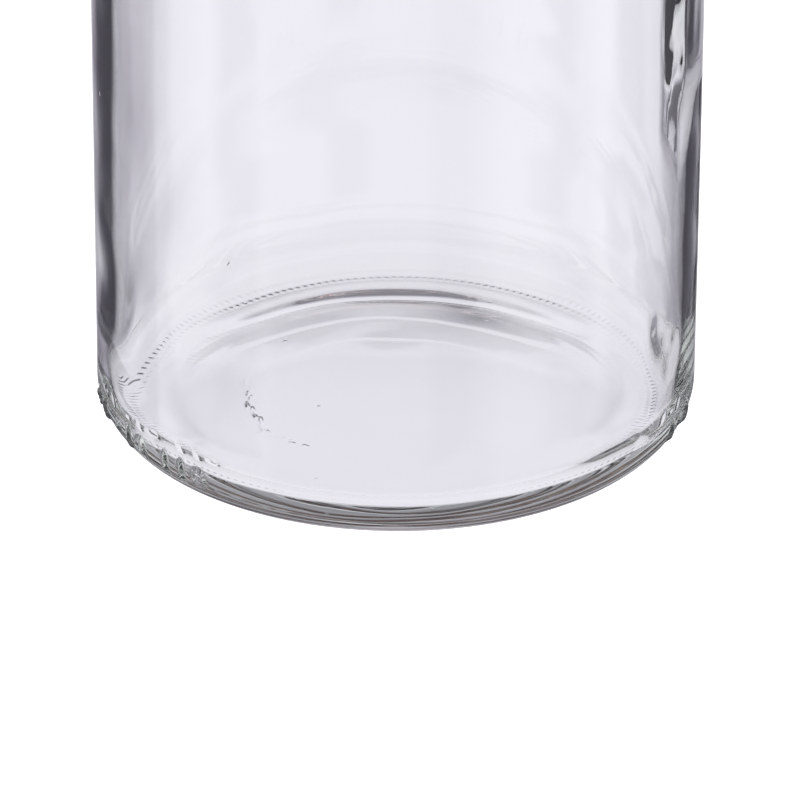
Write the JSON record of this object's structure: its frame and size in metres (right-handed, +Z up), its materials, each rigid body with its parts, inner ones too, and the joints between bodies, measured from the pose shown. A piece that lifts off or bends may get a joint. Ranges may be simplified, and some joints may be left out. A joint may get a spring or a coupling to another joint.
{
  "type": "canning jar",
  "caption": "Straight-sided clear glass canning jar with a hinged glass lid, a rubber sealing ring with a pull tab and an over-centre wire latch.",
  "frame": {"origin": "on the jar's axis, at the level of the flat ring that it stands on", "axes": "+Z up along the jar's axis, -Y towards the latch, +Y towards the lid's hinge"},
  "size_m": [0.104, 0.119, 0.172],
  "materials": {
    "jar_glass": "clear soda-lime glass, smooth, with a slightly wavy inner wall",
    "lid_glass": "clear pressed soda-lime glass",
    "rubber": "matte natural rubber, orange-red",
    "wire_steel": "drawn stainless steel wire, satin"
  },
  "bodies": {
    "jar": {"glass_body": "jar_glass", "neck_wire": "wire_steel"},
    "lid": {"lid_glass": "lid_glass", "lid_gasket": "rubber", "lid_wire": "wire_steel"},
    "lever": {"latch_lever": "wire_steel"},
    "link": {"latch_link": "wire_steel"}
  },
  "joints": [
    {"name": "lid_hinge", "type": "hinge", "parent": "jar", "child": "lid", "pos_m": [0, 0.056, 0.159], "axis": [-1, 0, 0], "range_deg": [0, 115]},
    {"name": "lever_swing", "type": "hinge", "parent": "jar", "child": "lever", "pos_m": [0, -0.0513, 0.1435], "axis": [-1, 0, 0], "range_deg": [0, 150]},
    {"name": "link_swing", "type": "hinge", "parent": "lever", "child": "link", "pos_m": [0, -0.0505, 0.1355], "axis": [-1, 0, 0], "range_deg": [-150, 0]}
  ],
  "couplings": [
    {"joint": "link_swing", "follows": "lever_swing", "ratio": -1}
  ]
}
